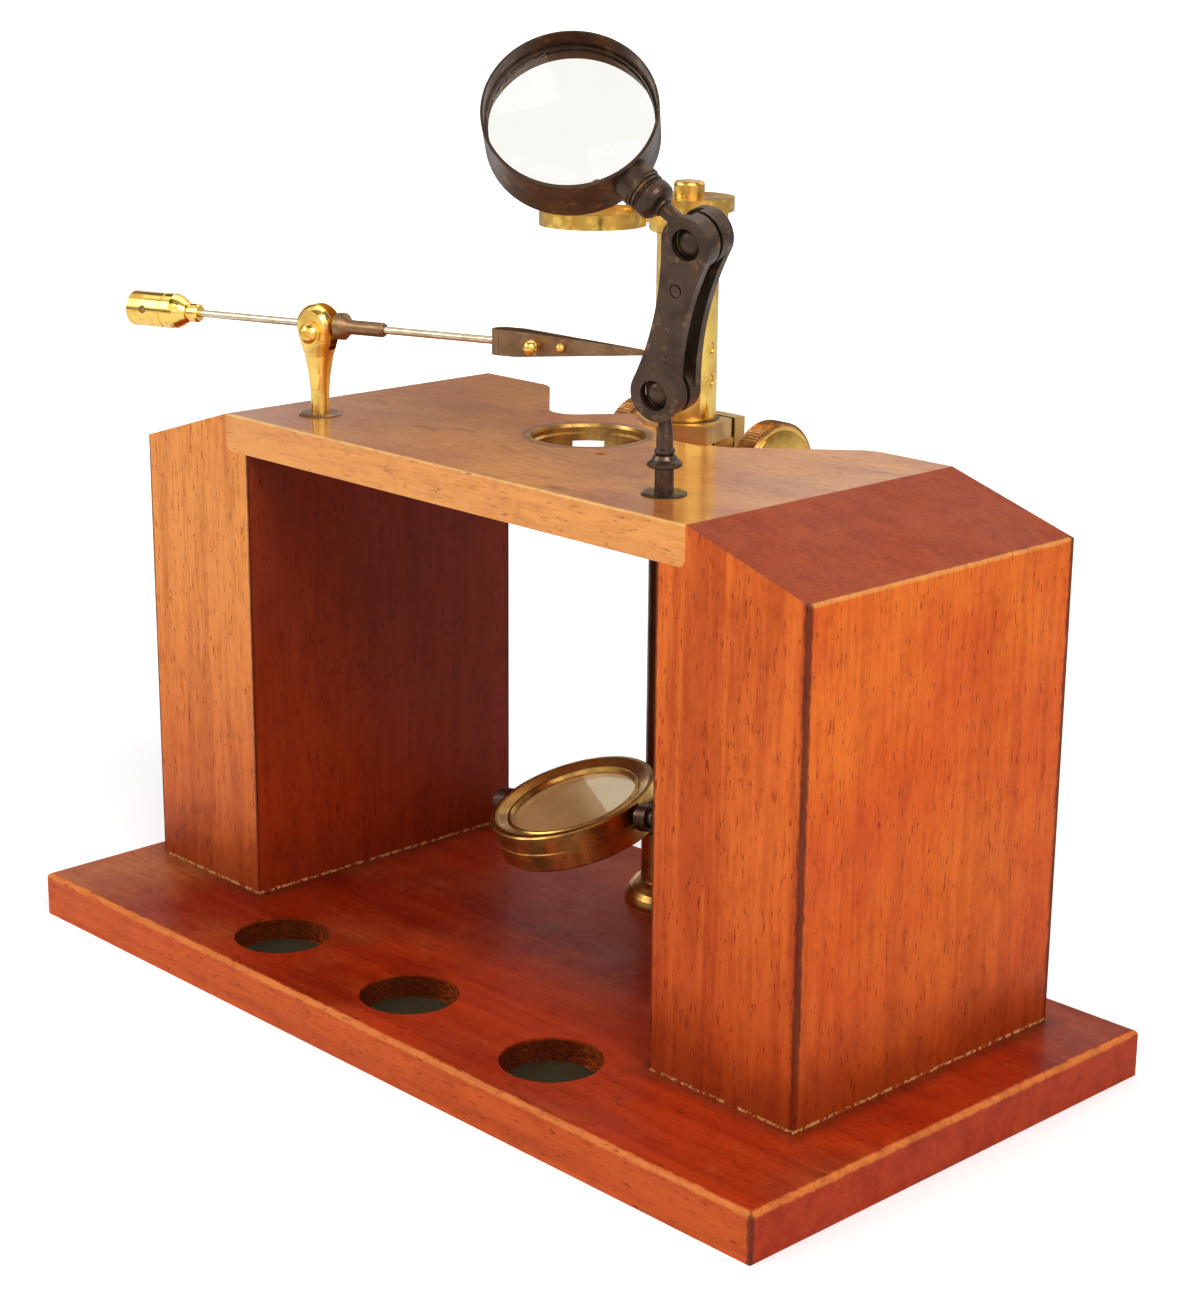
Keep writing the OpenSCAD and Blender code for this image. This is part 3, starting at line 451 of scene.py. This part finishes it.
def metal(name, colour, dark, rough, patina=0.5, metallic=1.0, scale=0.12, bump=0.04, warm=None, cells=0.0):
    """Old metal: clouds of patina, small stains, fine rubbing marks and a few brighter worn places.

    scale is that of the clouds, warm the colour of the worn places, and cells the scale of
    round stains.
    """
    M = Mat(name)
    cloud = M.noise(scale, 6, 0.62)
    spots = M.noise(scale * 6, 4, 0.65)
    col = M.mix(M.step(cloud, 0.40, 0.66, 0, patina), colour, dark)
    col = M.paint(col, tuple(0.45 * c for c in dark), M.step(spots, 0.60, 0.74, 0, patina * 0.8))
    if warm is not None:
        col = M.paint(col, warm, M.step(M.noise(scale * 2.3, 4, 0.6), 0.56, 0.70), 0.7)
    if cells:
        col = M.paint(col, tuple(0.8 * c for c in dark), M.step(M.cells(cells), 0.25, 0.6, 0.0, 0.5))
    rubbing = M.noise(3.0, 2, 0.5, stretch=(1, 1, 0.2))
    relief = M.plus(rubbing, M.times(spots, 0.6))
    return M.set(Base_Color=col, Roughness=M.step(cloud, 0.3, 0.7, rough, rough + 0.16),
                 Metallic=metallic, Normal=M.bump(relief, bump, depth=0.06))


def knob_metal():
    """Milled head: turned golden faces inside a brown milled rim."""
    M = Mat("knob_m")
    _, y, z = M.xyz(M.place)
    r = M.dist(M.vec(0.0, y, z), (0.0, KNOB[Y], KNOB[Z]))
    rim = M.step(r, KNOB_R - 1.3, KNOB_R - 0.9)
    turned = M.clouds(M.vec(M.times(r, 2.2), 0.0, 0.0), 1.0, 2)
    gold = M.mix(M.step(M.noise(0.14, 6, 0.62), 0.35, 0.7), (1.0, 0.62, 0.15), (0.66, 0.33, 0.07))
    brown = M.mix(M.step(M.noise(0.5, 5, 0.65), 0.4, 0.7), (0.20, 0.085, 0.028), (0.42, 0.20, 0.06))
    relief = M.plus(turned, M.noise(2.5, 2, 0.5))
    return M.set(Base_Color=M.mix(rim, gold, brown), Roughness=M.step(rim, 0, 1, 0.2, 0.38),
                 Metallic=1.0, Normal=M.bump(relief, strength=0.10, depth=0.08))


dress(metal("arm_brass_m", (1.0, 0.66, 0.15), (0.60, 0.26, 0.04), rough=0.20, patina=0.7, cells=0.4),
      "lens_arm")
dress(metal("ring_brass_m", (0.62, 0.36, 0.10), (0.20, 0.10, 0.035), rough=0.28, patina=0.8, bump=0.08),
      "stage_ring")
# Painted shade: the pillar tube gets dark brass because it stands in shade under the stage
dress(metal("shaded_brass_m", (0.17, 0.080, 0.028), (0.050, 0.022, 0.010), rough=0.30, patina=0.8),
      "pillar_tube")
dress(knob_metal(), "right_knob", "left_knob")
dress(metal("brass_m", (1.0, 0.68, 0.17), (0.62, 0.31, 0.06), rough=0.15, patina=0.75, scale=0.09, bump=0.03),
      "pillar_nut", "column", "rack", "rack_screws", "arm_seat", "arm_screw", "forceps_post",
      "forceps_clamp", "cork_cell", "front_stud", "back_stud")
dress(metal("bracket_brass_m", (0.66, 0.42, 0.16), (0.38, 0.21, 0.08), rough=0.34, patina=0.55),
      "pillar_collar", "collar_screws", "pinion_housing", "pinion_cover", "cover_screws")
dress(metal("mirror_brass_m", (0.58, 0.32, 0.08), (0.16, 0.07, 0.025), rough=0.24, patina=0.8),
      "mirror_cell", "mirror_back_cell", "pillar_foot")
dress(metal("bronze_m", (0.085, 0.050, 0.032), (0.038, 0.023, 0.016), rough=0.28, patina=0.7,
            metallic=0.75, bump=0.15, warm=(0.24, 0.13, 0.06)),
      "magnifier_socket", "magnifier_post", "link_front", "link_back", "link_screws",
      "magnifier_stem", "lens_frame", "lens_keeper", "frame_screw", "mirror_collar",
      "mirror_fork", "pivot_screws")
dress(metal("brown_bronze_m", (0.30, 0.17, 0.085), (0.13, 0.070, 0.035), rough=0.32, patina=0.65,
            metallic=0.9, bump=0.1, warm=(0.45, 0.26, 0.12)),
      "forceps_socket", "rod_swivel", "rod_sleeve", "forceps_bow", "front_blade", "back_blade")
dress(metal("nickel_m", (0.72, 0.62, 0.46), (0.40, 0.28, 0.15), rough=0.24, patina=0.55, scale=0.3),
      "forceps_rod")
dress(metal("steel_m", (0.40, 0.38, 0.35), (0.16, 0.13, 0.11), rough=0.35),
      "block_screws", "pinion")


# Glass, mirrors, felt, cork and card

def lens_glass():
    """Clear glass. Its index is below that of real glass, so that the lens bends the view less."""
    M = Mat("lens_glass_m")
    haze = M.noise(0.15, 4, 0.6)
    return M.set(Base_Color=M.mix(haze, (0.965, 0.948, 0.90), (0.955, 0.936, 0.885)),
                 Roughness=M.step(haze, 0.4, 0.8, 0.0, 0.03), Transmission_Weight=1.0, IOR=1.18)


def mirror_glass():
    """Yellowed silvering, with a painted reflection that is pale beyond a slanting line across the glass."""
    across, slant_x, slant_y = 13.6, 0.50, 0.865
    M = Mat("mirror_glass_m")
    x, y, _ = M.xyz(M.place)
    haze = M.noise(0.09, 5, 0.6)
    side = M.plus(M.plus(M.times(x, slant_x), M.times(y, slant_y)), M.times(haze, 1.2))
    col = M.mix(haze, (0.66, 0.42, 0.18), (0.52, 0.31, 0.12))
    # Painted reflection: pale beyond the slanting line
    col = M.paint(col, (0.90, 0.78, 0.52), M.step(side, across, across + 0.6), 0.8)
    return M.set(Base_Color=col, Roughness=M.step(haze, 0.3, 0.7, 0.12, 0.25),
                 Metallic=M.step(haze, 0.3, 0.7, 0.45, 0.3))


def soft(name, a, b, scale):
    """Dull fibrous stuff of two colours."""
    M = Mat(name)
    return M.set(Base_Color=M.mix(M.noise(scale, 5, 0.7), a, b), Roughness=0.9, Specular_IOR_Level=0.1,
                 Normal=M.bump(M.noise(scale * 4, 4, 0.7), strength=0.5, depth=0.3))


dress(lens_glass(), "lens")
dress(mirror_glass(), "plane_mirror", "concave_mirror")
dress(soft("felt_m", (0.018, 0.014, 0.006), (0.048, 0.038, 0.017), 0.8), "well_felts")
dress(soft("cork_m", (0.40, 0.24, 0.12), (0.20, 0.11, 0.05), 0.7), "cork")
dress(soft("card_m", (0.30, 0.25, 0.18), (0.22, 0.18, 0.12), 0.3), "mirror_packing")


# Floor, lamps, surroundings

FLOOR_REACH = 30.0          # half the floor's side, in metres
FLOOR_NEAR, FLOOR_FAR = 350, 1500       # distances from the stand, in millimetres
GLOW_NEAR, GLOW_FAR = 0.27, 1.1         # light that the camera sees in the floor at each


def floor():
    """Pale floor that keeps the shadow near the stand and goes white away from it."""
    s = FLOOR_REACH
    me = bpy.data.meshes.new("floor")
    me.from_pydata([(-s, -s, 0), (s, -s, 0), (s, s, 0), (-s, s, 0)], [], [(0, 1, 2, 3)])
    ob = bpy.data.objects.new("floor", me)
    scene.collection.objects.link(ob)

    M = Mat("floor_m")
    M.set(Base_Color=M.mix(M.noise(0.01, 3, 0.5), (0.80, 0.80, 0.80), (0.79, 0.79, 0.795)),
          Roughness=0.9, Specular_IOR_Level=0.1)
    ray = M.node("ShaderNodeLightPath").outputs
    away = M.step(M.dist(M.place, (0.0, 0.0, 0.0)), FLOOR_NEAR, FLOOR_FAR, GLOW_NEAR, GLOW_FAR)
    glow = M.add("ShaderNodeEmission", WHITE, M.times(ray["Is Camera Ray"], away))
    seen = M.add("ShaderNodeAddShader", M.bsdf.outputs[0], glow)
    seen_through_glass = M.add("ShaderNodeEmission", WHITE)
    M.put(M.out.inputs["Surface"], M.join(ray["Is Transmission Ray"], seen, seen_through_glass))
    me.materials.append(M.mat)


def world():
    """Soft cool light; white for the camera and through glass, light and dark fields in metal."""
    w = bpy.data.worlds.new("surroundings")
    scene.world = w
    w.use_nodes = True
    W = Nodes(w.node_tree)
    ray = W.node("ShaderNodeLightPath").outputs
    around = W.node("ShaderNodeTexCoord").outputs["Generated"]
    room = W.ramp(W.clouds(around, 1.7, 1.0), (0.42, (0.06, 0.045, 0.03)), (0.60, (1.0, 0.98, 0.94)))

    soft_light = W.add("ShaderNodeBackground", (0.95, 0.97, 1.0), 0.34)
    reflected = W.add("ShaderNodeBackground", room, 1.25)
    backdrop = W.add("ShaderNodeBackground", WHITE, 1.0)
    on_things = W.join(ray["Is Glossy Ray"], soft_light, reflected)
    direct = W.larger(ray["Is Camera Ray"], ray["Is Transmission Ray"])
    out = W.node("ShaderNodeOutputWorld")
    W.put(out.inputs[0], W.join(direct, on_things, backdrop))


def lamp(name, at, aim, size, power, colour=WHITE):
    """Rectangular lamp; places and sizes in metres, power in watts."""
    li = bpy.data.lights.new(name, "AREA")
    li.shape = "RECTANGLE"
    li.size, li.size_y = size
    li.energy = power
    li.color = colour
    ob = bpy.data.objects.new(name, li)
    ob.location = at
    ob.rotation_euler = (Vector(aim) - Vector(at)).to_track_quat("-Z", "Y").to_euler()
    scene.collection.objects.link(ob)


floor()
world()
lamp("key", at=(1.5, -0.5, 1.5), aim=(0.02, 0, 0.1), size=(1.2, 1.0), power=33, colour=(1.0, 0.97, 0.93))
lamp("fill", at=(-1.0, -1.5, 1.2), aim=(0, 0, 0.1), size=(1.4, 1.2), power=21, colour=(1.0, 0.99, 0.97))
lamp("top", at=(-0.3, 0.6, 1.9), aim=(0, 0, 0.1), size=(1.4, 1.4), power=12)


# Camera, fitted to the photograph

PHOTO_W, PHOTO_H = 1181, 1299           # pixels
CENTRE_U, CENTRE_V = 590, 650           # pixel that the optical axis meets
FOCAL = 2640.09                         # focal length in pixels
SENSOR = 36.0                           # sensor width in millimetres
EYE = (0.523955, -0.485788, 0.309022)   # metres
AZIMUTH, ELEVATION, ROLL = (math.radians(a) for a in (46.3956, 16.0805, 0.4569))


def camera():
    forward = Vector((-math.sin(AZIMUTH) * math.cos(ELEVATION),
                      math.cos(AZIMUTH) * math.cos(ELEVATION), -math.sin(ELEVATION)))
    level = Vector((math.cos(AZIMUTH), math.sin(AZIMUTH), 0))
    upright = level.cross(forward)
    right = math.cos(ROLL) * level + math.sin(ROLL) * upright
    up = -math.sin(ROLL) * level + math.cos(ROLL) * upright

    cam = bpy.data.cameras.new("camera")
    cam.sensor_fit = "HORIZONTAL"
    cam.sensor_width = SENSOR
    cam.lens = FOCAL * SENSOR / PHOTO_W
    cam.shift_x = (PHOTO_W / 2 - CENTRE_U) / PHOTO_W
    cam.shift_y = (CENTRE_V - PHOTO_H / 2) / PHOTO_W
    cam.clip_start = 0.01
    cam.clip_end = 100
    ob = bpy.data.objects.new("camera", cam)
    pose = Matrix((right, up, -forward)).transposed().to_4x4()
    pose.translation = Vector(EYE)
    ob.matrix_world = pose
    scene.collection.objects.link(ob)
    scene.camera = ob


camera()
scene.view_settings.view_transform = "Standard"
